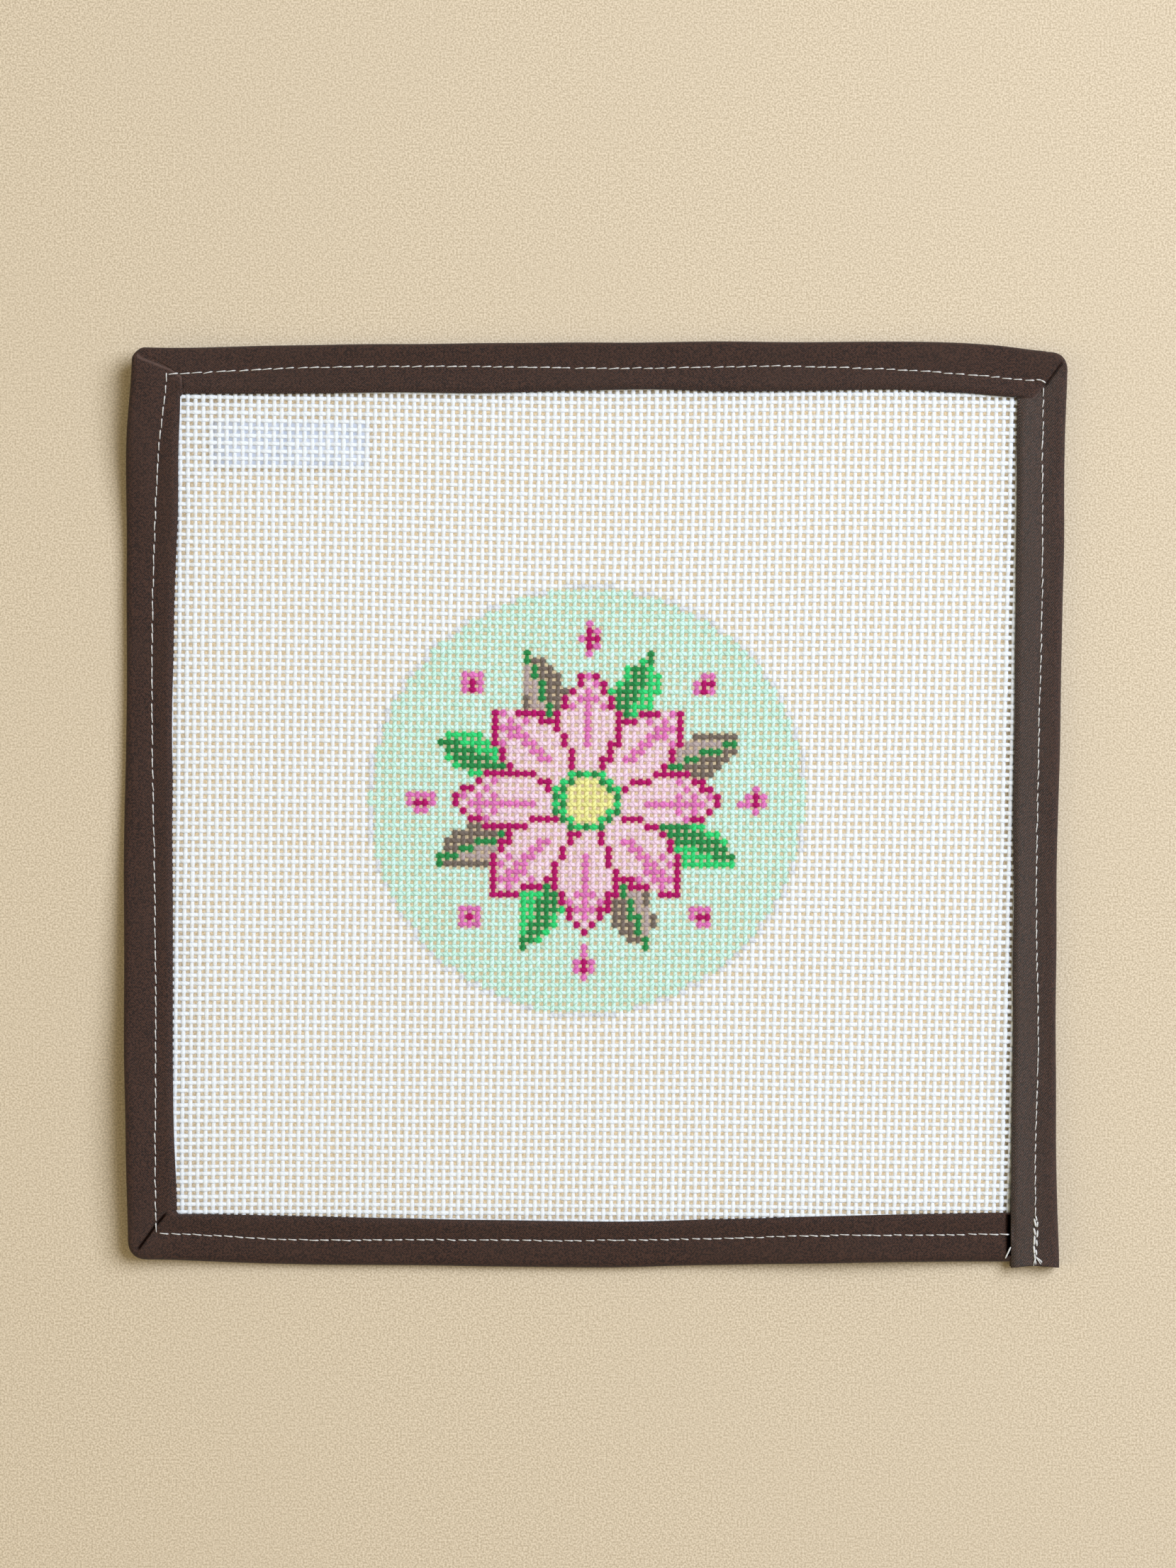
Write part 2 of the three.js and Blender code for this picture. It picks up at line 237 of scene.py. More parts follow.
def rgba(*screen):
    """A screen colour as a node takes it, with full cover as its fourth number."""
    return (*light(*screen), 1.0)


def add(tree, kind, *inputs, **settings):
    """A new node with its settings, each input a number or another node's output."""
    made = tree.nodes.new(kind)
    for key, value in settings.items():
        setattr(made, key, value)
    for socket, value in zip(made.inputs, inputs):
        if isinstance(value, bpy.types.NodeSocket):
            tree.links.new(value, socket)
        elif value is not None:
            socket.default_value = value
    return made


def maths(tree, operation, *inputs):
    """One step of arithmetic as a node."""
    return add(tree, "ShaderNodeMath", *inputs, operation=operation).outputs[0]


def times(tree, first, second):
    """The product of two numbers."""
    return maths(tree, "MULTIPLY", first, second)


def plus(tree, first, second):
    """The sum of two numbers."""
    return maths(tree, "ADD", first, second)


def object_place(tree):
    """Where a point lies on its object, in metres."""
    return add(tree, "ShaderNodeTexCoord").outputs["Object"]


def noise(tree, place, scale, detail):
    """Soft random spots, as many to a unit of the place as the scale says."""
    return add(tree, "ShaderNodeTexNoise", place, None, scale, detail).outputs[0]


def blend_colours(tree, share, first, second, how="MIX"):
    """A mix of two colours; the node keeps its colour inputs in places 6 and 7."""
    made = tree.nodes.new("ShaderNodeMix")
    made.data_type, made.blend_type = "RGBA", how
    for place, value in ((0, share), (6, first), (7, second)):
        if isinstance(value, bpy.types.NodeSocket):
            tree.links.new(value, made.inputs[place])
        else:
            made.inputs[place].default_value = value
    return made.outputs[2]


def between(tree, value, low, high, to_low, to_high):
    """Carries a value from one range to another, smoothly, and holds it at the ends."""
    made = add(tree, "ShaderNodeMapRange", value, low, high, to_low, to_high)
    made.interpolation_type = "SMOOTHSTEP"
    return made.outputs[0]


def new_material(name, roughness, sheen=0.0):
    """A material with its shader, whose fixed numbers are set on the shader itself."""
    material = bpy.data.materials.new(name)
    material.use_nodes = True
    tree = material.node_tree
    shader = tree.nodes["Principled BSDF"]
    shader.inputs["Roughness"].default_value = roughness
    shader.inputs["Sheen Weight"].default_value = sheen
    shader.inputs["Specular IOR Level"].default_value = 0.25
    return material, tree, shader


def cloth_place(tree):
    """The two numbers of the piece's own map."""
    uv = add(tree, "ShaderNodeUVMap", uv_map="cloth").outputs[0]
    split = add(tree, "ShaderNodeSeparateXYZ", uv)
    return split.outputs[0], split.outputs[1]


def set_bump(tree, shader, height, distance):
    """Shades a surface as if it stood up by the height times the distance."""
    bump = add(tree, "ShaderNodeBump", 1.0, distance)
    tree.links.new(height, bump.inputs["Height"])
    tree.links.new(bump.outputs[0], shader.inputs["Normal"])


def speckled(name, roughness, spots, colours, depth, sheen=0.0):
    """A material of two colours in soft spots, which stand up where they are paler. The spots are
    their scale, their detail, and how far either side of the middle one colour meets the other."""
    material, tree, shader = new_material(name, roughness, sheen)
    scale, detail, spread = spots
    cloudy = noise(tree, object_place(tree), scale, detail)
    share = between(tree, cloudy, 0.5 - spread, 0.5 + spread, 0.0, 1.0)
    colour = blend_colours(tree, share, rgba(*colours[0]), rgba(*colours[1]))
    tree.links.new(colour, shader.inputs["Base Color"])
    set_bump(tree, shader, cloudy, depth * MM)
    return material


print("white thread as light:", light(240, 243, 248).round(2))

# %% [markdown]
# ## The thread's finish
#
# Canvas thread is two plies of cotton twisted hard and stiffened with size. The map runs in turns
# of the weave along the thread and once round it, so the groove between the plies is a stripe
# that climbs round the thread. The paint comes as a colour on each point, with its strength as the
# fourth number. In the groove both the white and the paint are darker, as painted shade.


# %% Canvas thread material
def let_light_through(tree, shader, tint):
    """Lets a share of the lamp's light pass, as loose cotton does: rays from a lamp meet a tinted
    clear surface, and every other ray meets the shader."""
    rays = tree.nodes.new("ShaderNodeLightPath")
    clear = add(tree, "ShaderNodeBsdfTransparent", tint)
    both = tree.nodes.new("ShaderNodeMixShader")
    tree.links.new(rays.outputs["Is Shadow Ray"], both.inputs[0])
    tree.links.new(shader.outputs[0], both.inputs[1])
    tree.links.new(clear.outputs[0], both.inputs[2])
    tree.links.new(both.outputs[0], tree.nodes["Material Output"].inputs["Surface"])


def canvas_thread_material():
    """White cotton under paint. The groove between the two plies is where the sine of the twist is
    near 0, and the twist is the place round the thread plus a share of the place along it."""
    material, tree, shader = new_material("canvas_thread", 0.85)
    shader.inputs["Subsurface Weight"].default_value = 0.85
    shader.inputs["Subsurface Radius"].default_value = (1.0, 0.95, 0.9)
    shader.inputs["Subsurface Scale"].default_value = 0.7 * MM
    along, about = cloth_place(tree)
    twist = plus(tree, about, times(tree, along, 0.74))
    lobes = maths(tree, "ABSOLUTE", maths(tree, "SINE", times(tree, twist, 2 * math.pi)))
    ply = between(tree, lobes, 0.0, 0.75, 0.0, 1.0)
    fibre_place = add(tree, "ShaderNodeCombineXYZ", times(tree, twist, 17.0), along)
    fibre = noise(tree, fibre_place.outputs[0], 1.6, 3.0)
    place = object_place(tree)
    cloudy = noise(tree, place, 900.0, 2.0)
    # painted shade: the white is a little darker in the groove between the plies
    white = blend_colours(tree, ply, rgba(227, 238, 253), rgba(238, 246, 255))
    white = blend_colours(tree, between(tree, fibre, 0.35, 0.65, 0.0, 0.35), white, rgba(228, 237, 247))
    paint = add(tree, "ShaderNodeAttribute", attribute_name="paint")
    uneven = plus(tree, times(tree, fibre, 0.3), times(tree, cloudy, 0.5))
    cover = plus(tree, paint.outputs["Alpha"], maths(tree, "SUBTRACT", uneven, 0.4))
    cover = between(tree, cover, 0.2, 0.75, 0.0, 1.0)
    cover = times(tree, cover, between(tree, paint.outputs["Alpha"], 0.0, 0.15, 0.0, 1.0))
    # painted shade: the paint is darker in the groove too
    shade = between(tree, ply, 0.0, 1.0, 0.72, 1.0)
    dye = blend_colours(tree, 1.0, paint.outputs["Color"], shade, "MULTIPLY")
    colour = blend_colours(tree, cover, white, dye)
    tree.links.new(colour, shader.inputs["Base Color"])
    height = plus(tree, ply, times(tree, fibre, 0.4))
    set_bump(tree, shader, height, 0.045 * MM)
    let_light_through(tree, shader, (0.95, 0.92, 0.87, 1.0))
    return material


thread_material = canvas_thread_material()

# %% [markdown]
# ## Where the threads run
#
# The canvas has pulled a little out of square: the upright threads lean, more on the right than on
# the left, and the level ones sag towards the middle of the upper half. Both are gentle formulas
# of the place, in hundreds of millimetres from the middle. The holes are as wide as the threads.

# %% Threads of the canvas
PITCH_X = 1.964  # 13 threads to the inch, a little wider across than up
PITCH_Y = 1.931
UPRIGHTS = np.arange(-56, 56)  # the numbers of the upright threads, from left to right
LEVELS = np.arange(-55, 56)  # and of the level ones, from the bottom up
THREAD_WIDE = 1.13
THREAD_DEEP = 0.42
RISE_UPRIGHT = 0.16  # how far a thread goes over and under
RISE_LEVEL = 0.20
WANDER, RIPPLE = 0.045, 0.02  # how far it strays sideways and up, in mm
UNEVEN = 0.05  # how much its thickness varies, as a share
STEPS = np.array([0.0, 0.38, 0.62])  # where rings stand between one crossing and the next
SIDES_OF_THREAD = 5


def bell(x, y, middle, half):
    """A smooth hill over a point: 1 on top, and about a third at a half width away."""
    return np.exp(-(((x - middle[0]) / half[0]) ** 2) - ((y - middle[1]) / half[1]) ** 2)


def lean(x, y):
    """How far the weave is out of square at a point, across and up, in mm: a lean, and a few
    places where it was drawn aside when the tape was sewn on."""
    u, v = x / 100, y / 100
    across = v * (1.5 + 0.75 * u) - 0.35 * u - 0.52
    across += 0.45 * bell(u, v, (0.08, 1.0), (0.35, 0.5)) - 0.25 * bell(u, v, (0.35, -0.55), (0.4, 0.5))
    sag = np.exp(-((u - 0.05) ** 2) / 0.25) * np.clip(v + 0.5, 0, 1)
    up = 0.26 - 0.65 * u - 0.8 * sag
    up += 0.35 * bell(u, v, (0.32, -0.5), (0.35, 0.45)) + 0.2 * bell(u, v, (0.4, 1.0), (0.35, 0.25))
    up -= 0.22 * bell(u, v, (-0.3, 0.65), (0.3, 0.3))
    return across, up


def ring_places(first, last):
    """Places along a thread, in crossings: the three steps of each, and the last crossing."""
    whole = np.arange(first, last)[:, None] + STEPS
    return np.append(whole.ravel(), last)


def crimp(place):
    """The wave of a thread, 1 over a crossing and -1 under the next: a cosine with flatter tops."""
    return (np.cos(np.pi * place) - 0.1 * np.cos(3 * np.pi * place)) / 0.9


def section_angles():
    """The five corners of a thread's section, from its lowest point round."""
    return np.radians(270 + 360 / SIDES_OF_THREAD * np.arange(SIDES_OF_THREAD))


def thread_points(numbers, places, upright, seed):
    """Points of a set of threads, (threads, rings, sides, 3). Each ring is an oval about the
    thread's line, tipped with its slope; the line follows the crimp, the lean and the lift."""
    number, place = numbers[:, None] * 1.0, places[None, :] * 1.0
    x0, y0 = (number * PITCH_X, place * PITCH_Y) if upright else (place * PITCH_X, number * PITCH_Y)
    x0, y0 = np.broadcast_arrays(x0, y0)
    shape = x0.shape
    across, up = lean(x0, y0)
    wander = WANDER * soft_noise(seed, shape, 7)
    x = x0 + across + (wander if upright else 0)
    y = y0 + up + (0 if upright else wander)
    start = 1 if upright else -1
    over = start * (-1.0) ** number * crimp(place)
    rise = RISE_UPRIGHT if upright else RISE_LEVEL
    z = CANVAS_Z + rise * over + lift(x, y) + RIPPLE * soft_noise(seed + 1, shape, 4)
    line = y if upright else x
    tip = np.arctan(np.gradient(z, axis=1) / np.gradient(line, axis=1))
    plump = 1 + UNEVEN * soft_noise(seed + 2, shape, 5)
    half_wide = 0.5 * THREAD_WIDE * plump * (1 + 0.07 * over)
    half_deep = 0.5 * THREAD_DEEP * plump
    angle = section_angles()
    sideways = half_wide[..., None] * 1.05 * np.cos(angle)
    deep = half_deep[..., None] * np.sin(angle)
    forward = -deep * np.sin(tip)[..., None]
    if upright:
        offsets = (sideways, forward)
    else:
        offsets = (forward, -sideways)
    upward = deep * np.cos(tip)[..., None]
    return np.stack([x[..., None] + offsets[0], y[..., None] + offsets[1], z[..., None] + upward], -1)


upright_places = ring_places(-56, 56)
level_places = ring_places(-56, 55)
print(len(UPRIGHTS), "upright and", len(LEVELS), "level threads,", f"{25.4 / PITCH_X:.1f} to the inch")

# %% [markdown]
# ## The painted design
#
# A painted canvas is a chart: each crossing of two threads is one stitch to come and has one
# colour. So the design is a formula of the crossing's place, counted in threads from the middle of
# a round ground of pale mint. A plain rosette fills it: eight petals, eight leaves between them,
# and a bud at the tip of each petal. A petal or leaf is a lens, whose half width is a sine of how
# far along it the crossing lies.

# %% The chart
PALETTE = {
    "mint": (208, 249, 236),
    "pale_pink": (242, 216, 234),
    "pink": (222, 128, 196),
    "magenta": (182, 14, 112),
    "bright_green": (52, 214, 128),
    "green": (42, 148, 82),
    "taupe": (124, 114, 106),
    "pale_taupe": (184, 172, 172),
    "yellow": (240, 240, 164),
    "pencil": (176, 182, 184),
}
COLOURS = list(PALETTE)
DISC_MIDDLE = (-1.8, 0.8)  # mm
DISC_RADIUS = 28.3  # threads


def lens_shape(across, up, turn, near, far, half_width):
    """A lens that points away from the middle at an angle: how far along it each crossing is, from
    0 to 1, how far off its line, and how far inside its edge, all in threads but the first."""
    away = across * math.cos(turn) + up * math.sin(turn)
    off = -across * math.sin(turn) + up * math.cos(turn)
    share = (away - near) / (far - near)
    edge = half_width * np.sin(np.pi * np.clip(share, 0, 1)) ** 0.8
    inside = np.where((share > 0) & (share < 1), edge - np.abs(off), -9.0)
    return share, off, inside


def chart(across, up):
    """The colour's number at each crossing, or -1 where the canvas is bare."""
    radius = np.hypot(across, up)
    checks = (np.round(across) + np.round(up)) % 2 == 0
    colour = np.full(radius.shape, -1)

    def fill(where, name):
        """Gives one colour to the crossings that pass a test."""
        colour[where] = COLOURS.index(name)

    fill(radius < DISC_RADIUS + 0.5, "pencil")
    fill(radius < DISC_RADIUS - 0.2, "mint")
    for eighth in range(8):
        turn = math.radians(45 * eighth)
        leaf_turn = turn + math.radians(22.5)
        _, off, inside = lens_shape(across, up, leaf_turn, 8.5, 21.5, 2.9)
        fill(inside > 0, "bright_green" if eighth % 2 else "taupe")
        fill((inside > 0.8) & (off > 0), "green" if eighth % 2 else "pale_taupe")
        fill((inside > 0) & (np.abs(off) < 0.5), "green")
        share, off, inside = lens_shape(across, up, turn, 2.5, 17.5, 4.4)
        fill(inside > 0, "magenta")
        fill(inside > 1.05, "pink")
        fill((inside > 1.05) & (checks | (share < 0.62)), "pale_pink")
        fill((inside > 1.05) & (np.abs(off) < 0.5) & (share > 0.3) & (share < 0.8), "pink")
        away = across * math.cos(turn) + up * math.sin(turn)
        bud = np.abs(away - 21.6) + 1.25 * np.abs(off)
        fill(bud < 2.3, "pink")
        fill(bud < 1.2, "magenta")
    fill(radius < 4.4, "green")
    fill((radius < 4.4) & checks, "bright_green")
    fill(radius < 3.0, "yellow")
    return colour


def colour_at(x, y):
    """The colour's number for crossings at x, y in mm."""
    return chart((x - DISC_MIDDLE[0]) / PITCH_X, (y - DISC_MIDDLE[1]) / PITCH_Y)


def paint_at(x, y, seed):
    """Colour and strength of the paint for crossings at x, y in mm, as (..., 4)."""
    colour = colour_at(x, y)
    lights = np.array([light(*PALETTE[name]) for name in COLOURS])
    rgb = lights[np.maximum(colour, 0)]
    dab = np.random.default_rng(seed).normal(1.0, 0.06, colour.shape)
    strength = np.where(colour >= 0, 0.93 * dab, 0.0)
    strength = np.where(colour == COLOURS.index("pencil"), 0.42 * strength, strength)
    return np.concatenate([np.clip(rgb * dab[..., None], 0, 1), np.clip(strength, 0, 1)[..., None]], -1)


grid_y, grid_x = np.meshgrid(LEVELS * PITCH_Y, UPRIGHTS * PITCH_X)
counts = np.bincount(colour_at(grid_x, grid_y).ravel() + 1)
print("crossings of each colour:", dict(zip(["bare", *COLOURS], counts.tolist())))

# %% [markdown]
# ## Weaving it
#
# Each crossing's paint reaches half way to the next one, on both threads, and soaks through to the
# back more weakly. The threads are joined into four pieces, two for each direction, so that no
# piece grows too heavy.


# %% The four bands of thread
SOAKED_THROUGH = 0.35  # the share of the paint that reaches a thread's lowest corner


def weave_band(name, numbers, places, upright, seed):
    """One band of threads as a piece: tubes, their map, and their paint."""
    points = thread_points(numbers, places, upright, seed)
    tubes, rings, sides = points.shape[:3]
    number, crossing = np.broadcast_arrays(numbers[:, None] * 1.0, np.round(places)[None, :])
    x, y = (number * PITCH_X, crossing * PITCH_Y) if upright else (crossing * PITCH_X, number * PITCH_Y)
    paint = paint_at(x, y, seed=7)
    paint = np.repeat(paint[:, :, None, :], sides, axis=2)
    paint[:, :, 0, 3] *= SOAKED_THROUGH
    walls, first, last = tube_faces(tubes, rings, sides)
    shift = np.random.default_rng(seed + 3).uniform(0, 9, tubes)
    along = places[None, :, None] + shift[:, None, None] + np.zeros(points.shape[:3])
    about = np.arange(sides + 1) / sides
    low, high = along[:, :-1], along[:, 1:]
    here = np.broadcast_to(about[:-1], low.shape)
    beside = np.broadcast_to(about[1:], low.shape)
    wall_map = np.stack(
        [np.stack([low, here], -1), np.stack([high, here], -1),
         np.stack([high, beside], -1), np.stack([low, beside], -1)], axis=3)
    end_map = np.zeros((tubes, sides, 2))
    return make_piece(
        name, points.reshape(-1, 3), [walls, first, last], thread_material,
        [wall_map.reshape(-1, 4, 2), end_map, end_map], paint.reshape(-1, 4))


bands = [
    weave_band("canvas_uprights_left", UPRIGHTS[:56], upright_places, True, 100),
    weave_band("canvas_uprights_right", UPRIGHTS[56:], upright_places, True, 200),
    weave_band("canvas_levels_low", LEVELS[:55], level_places, False, 300),
    weave_band("canvas_levels_high", LEVELS[55:], level_places, False, 400),
]
for band in bands:
    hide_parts("canvas")

# %% [markdown]
# ## The path of the binding
#
# One length of tape goes round the panel: it starts under the lower right corner, runs along the
# bottom, up the left side, over the top and down the right side, where its end lies over its
# start. It is folded along its middle over the canvas's edge. Here a section through the folded
# tape is carried along that way. Each station of the path has an outer and an inner point, so the
# tape turns a corner as a fan of stations round the inner point.

# %% Stations
TAPE_START_X = 115.0
TAPE_END_Y = -117.5
REACH = 112  # the place on each side whose edges, drawn on, meet in a corner
INNER_CUT = 0.8  # how far from the meeting point a corner starts to turn, at the inner edge
OUTER_CUT = {("bottom", "left"): 5.0, ("left", "top"): 3.0, ("top", "right"): 5.6}
HANDLES = {("bottom", "left"): 0.36, ("left", "top"): 0.62, ("top", "right"): 0.27}
STATION_STEP = 0.52
CORNER_STATIONS = 26


def meeting(first, second, column, inset=0.0):
    """Where two sides' edges would meet, and the place along each side at which that is."""
    upright, level = (first, second) if OUT[first][0] else (second, first)
    x = OUT[upright][0] * (read_side(upright, column, OUT[level][1] * REACH) - inset)
    y = OUT[level][1] * (read_side(level, column, OUT[upright][0] * REACH) - inset)
    return np.array([x, y])


def corner_edge(first, second, column, cut):
    """One edge of the tape round a corner: where it leaves the first side and joins the second,
    and the cubic curve between, whose handles lie a share of the cut from the meeting point: a
    third gives a round corner, and more a blunt one with two bends."""
    point = meeting(first, second, column)
    leave = point @ ALONG[first] - cut * np.dot(ALONG[first], OUT[second])
    join = point @ ALONG[second] - cut * np.dot(ALONG[second], OUT[first])
    start = side_point(first, np.array(leave), read_side(first, column, leave))
    end = side_point(second, np.array(join), read_side(second, column, join))
    handles = [point + (edge - point) * HANDLES[first, second] for edge in (start, end)]
    t = np.linspace(0, 1, CORNER_STATIONS + 2)[1:-1, None]
    curve = (1 - t) ** 3 * start + 3 * t * (1 - t) ** 2 * handles[0]
    return leave, join, curve + 3 * t**2 * (1 - t) * handles[1] + t**3 * end


def binding_stations():
    """Rows of stations: the outer and inner points, the number of the side, and the place from the
    nearest corner's middle, in stations."""
    corners = [
        [corner_edge(a, b, column, cut) for column, cut in ((OUTER, OUTER_CUT[a, b]), (INNER, INNER_CUT))]
        for a, b in OUTER_CUT
    ]
    leaves = [[edge[0] for edge in corner] for corner in corners] + [[TAPE_END_Y] * 2]
    joins = [[TAPE_START_X] * 2] + [[edge[1] for edge in corner] for corner in corners]
    outer, inner, side_number = [], [], []
    for number, side in enumerate(("bottom", "left", "top", "right")):
        steps = int(abs(leaves[number][0] - joins[number][0]) / STATION_STEP)
        t = np.linspace(0, 1, steps + 1)
        at = [joins[number][k] + (leaves[number][k] - joins[number][k]) * t for k in (0, 1)]
        middle = (at[0] + at[1]) / 2
        outer.append(side_point(side, at[0], read_side(side, OUTER, middle)))
        inner.append(side_point(side, at[1], read_side(side, INNER, middle)))
        side_number.append(np.full(steps + 1, number))
        if number < 3:
            outer.append(corners[number][0][2])
            inner.append(corners[number][1][2])
            half = CORNER_STATIONS // 2
            side_number.append(np.repeat([number, number + 1], half))
    return np.concatenate(outer), np.concatenate(inner), np.concatenate(side_number)


outer_line, inner_line, side_of = binding_stations()
station_count = len(side_of)

# %% [markdown]
# ## Folded corners
#
# At three corners the spare tape is folded under itself, a mitre. From above that is a line from
# the outer corner to the inner one, where one fold lies over the other: a small step, and a groove
# where the folds don't quite close. Two of the grooves are painted dark inside, painted shade, and
# two folds' edges are painted pale, a painted highlight. The line isn't straight, since the folds
# turn under the needle. The stations on either side are drawn to the line, so that the mesh has an
# edge on it.

# %% Mitre lines
# The points each fold passes between the outer and the inner corner, in mm, with how far along
# the section each one lies; which side lies higher, by how much; the groove's depth; and, with
# the shares between which it shows, how strongly painted shade darkens the groove and how strongly
# a painted highlight lightens the fold's edge.
MITRES = [
    {"bends": [(0.24, -115.4, -112.0), (0.62, -111.5, -106.6), (0.86, -108.7, -103.4)],
     "step": 0.30, "groove": 0.6, "painted_shade": (1.0, 0.14, 0.90), "painted_highlight": (0.0, 0.0, 1.0)},
    {"bends": [(0.22, -115.4, 112.7), (0.60, -107.8, 109.8), (0.78, -105.0, 108.2)],
     "step": 0.40, "groove": 0.0, "painted_shade": (0.0, 0.0, 1.0), "painted_highlight": (0.5, 0.04, 0.9)},
    {"bends": [(0.16, 118.0, 111.8), (0.50, 114.4, 106.9), (0.80, 110.9, 102.9)],
     "step": 0.45, "groove": 0.4, "painted_shade": (0.75, 0.08, 0.60), "painted_highlight": (0.25, 0.5, 0.95)},
]
MITRE_SPREAD = 34  # stations either side of a corner's middle that are drawn to its line
MITRE_NEAR = 70  # stations either side that its step and its groove may reach
MITRE_ACROSS = 8  # stations either side between which the way across a fold is read
FOLD_HALF = 0.16  # mm, half the width of the folded edge as seen from above
GROOVE_HALF = 0.36
STEP_REACH = 5.0
middles = [int(np.flatnonzero(side_of == number + 1)[0]) for number in range(3)]


def mitre_line(number, share):
    """The line of one fold at shares of the way from the outer to the inner edge."""
    k = middles[number]
    ends = [(outer_line[k - 1] + outer_line[k]) / 2, (inner_line[k - 1] + inner_line[k]) / 2]
    rows = [(0.0, *ends[0]), *MITRES[number]["bends"], (1.0, *ends[1])]
    shares, x, y = np.array(rows).T
    return np.stack([np.interp(share, shares, x), np.interp(share, shares, y)], -1)


def draw_to_mitres(points, share):
    """Moves (stations, section, 2) points so that the two stations at each corner's middle lie
    side by side along its fold. The pull fades as a squared cosine of the stations between."""
    for number, k in enumerate(middles):
        line = mitre_line(number, share)
        beside = points[k + MITRE_ACROSS] - points[k - 1 - MITRE_ACROSS]
        beside /= np.linalg.norm(beside, axis=-1, keepdims=True)
        for first, step in ((k - 1, -1), (k, 1)):
            pulled = first + step * np.arange(MITRE_SPREAD)
            fade = np.cos(np.pi / 2 * np.arange(MITRE_SPREAD) / MITRE_SPREAD) ** 2
            away = line + step * FOLD_HALF * beside - points[first]
            points[pulled] += fade[:, None, None] * away
    return points


def shows(row, share):
    """How strongly a fold's line of painted shade, or of painted highlight, shows at shares of the way in.
    """
    strength, start, end = row
    return strength * smooth_step((share - start) / 0.1) * smooth_step((end - share) / 0.1)


def mitre_relief(points, share):
    """For the top face near each fold, the height to add, how much painted shade darkens it and how
    much a painted highlight lightens it. The height is a step, half of it up on one side and half
    down on the other, that fades with the distance, and a groove, a bell curve across the fold. The
    painted shade and highlight follow the same bell curve."""
    relief = np.zeros(points.shape[:2])
    painted_shade, painted_highlight = np.zeros_like(relief), np.zeros_like(relief)
    for number, k in enumerate(middles):
        mitre = MITRES[number]
        near = slice(k - MITRE_NEAR, k + MITRE_NEAR)
        distance = np.linalg.norm(points[near] - mitre_line(number, share), axis=-1)
        before = (np.arange(-MITRE_NEAR, MITRE_NEAR) < 0)[:, None]
        side = np.where(before, 1, -1) * mitre["step"] / 2
        relief[near] += side * np.clip(1 - distance / STEP_REACH, 0, 1) ** 2
        line = np.exp(-((distance / GROOVE_HALF) ** 2))
        # painted shade along the groove and a painted highlight along the fold's edge, both by the groove's
        # bell curve
        painted_shade[near] += shows(mitre["painted_shade"], share) * line
        painted_highlight[near] += shows(mitre["painted_highlight"], share) * line
        ends = smooth_step(share / 0.25) * smooth_step((1.02 - share) / 0.25)
        relief[near] -= mitre["groove"] * ends * line
    return relief * smooth_step(share / 0.2), painted_shade, painted_highlight


print("the folds are at stations", middles)

# %% [markdown]
# ## The row of stitches
#
# The needle goes down about every 2.8 mm, and the thread draws the cloth in: a shallow furrow all
# along, with a dimple at each hole. The furrow is a bell curve of the distance from the row. The
# same places serve the stitches themselves, further down.

# %% Where the row runs
ROWS = {  # where along each side its row starts and ends, in mm, and how many stitches it has
    "bottom": (-110.6, 104.8, 80),
    "left": (-108.6, 109.4, 76),
    "top": (-108.4, 111.4, 75),
    "right": (-104.6, 105.9, 78),
}
LOCK_END_Y = -115.8


def row_reach(side, at):
    """How far from the middle of the panel the row of stitches runs."""
    return read_side(side, OUTER, at) - read_side(side, SEAM, at)


def off_the_row(points):
    """How far points are from the nearest row of stitches, in mm, and how near a needle hole they
    are along it: 1 at a hole, 0 half way between two."""
    best = np.full(points.shape[:-1], np.inf)
    hole = np.zeros(points.shape[:-1])
    for side, (low, high, count) in ROWS.items():
        at = points @ np.array(ALONG[side])
        off = points @ np.array(OUT[side]) - row_reach(side, at)
        start = LOCK_END_Y if side == "right" else low
        past = np.maximum(0, np.maximum(start - at, at - high))
        distance = np.hypot(off, past)
        near = 0.5 + 0.5 * np.cos(2 * np.pi * count * (at - low) / (high - low))
        hole = np.where(distance < best, near, hole)
        best = np.minimum(best, distance)
    return best, hole


print("stitches:", sum(row[2] for row in ROWS.values()))

# %% [markdown]
# ## The folded tape
#
# The section is a U on its side: a leaf under the canvas, the round outer fold, and a leaf on top,
# each leaf as thick as cloth folded double. Its loop runs along the underside, round the fold,
# over the top and back through the slot. Every point of it is given by its share of the way in
# from the fold and by a height, so the section stretches with the tape's width. On top of that
# come the furrow, the mitres' steps, the lap at the end, and the slow swell of soft cloth.

# %% The section
TAPE_TOP = 3.7
SLOT_LOW, SLOT_HIGH = 1.0, 2.5
FOLD_WALL = 0.12  # share of the width
LAP_RISE, LAP_FROM_Y, LAP_FULL_Y = 0.9, -84.0, -102.0
TUCK_FROM_X, TUCK_FULL_X = 92.0, 104.0  # the start of the tape slips inside the fold of its end
FURROW, DIMPLE = 0.16, 0.22
HOLLOW, HOLLOW_HALF = 0.50, 2.6  # the wide hollow about the row
LIP_DROP = 0.75  # the top leaf's inner edge is rounded down
LEAF_POINTS = 19
CUT_STATIONS, CUT_HOLLOW = 12, 0.55  # the cut end is a little hollow between its corners


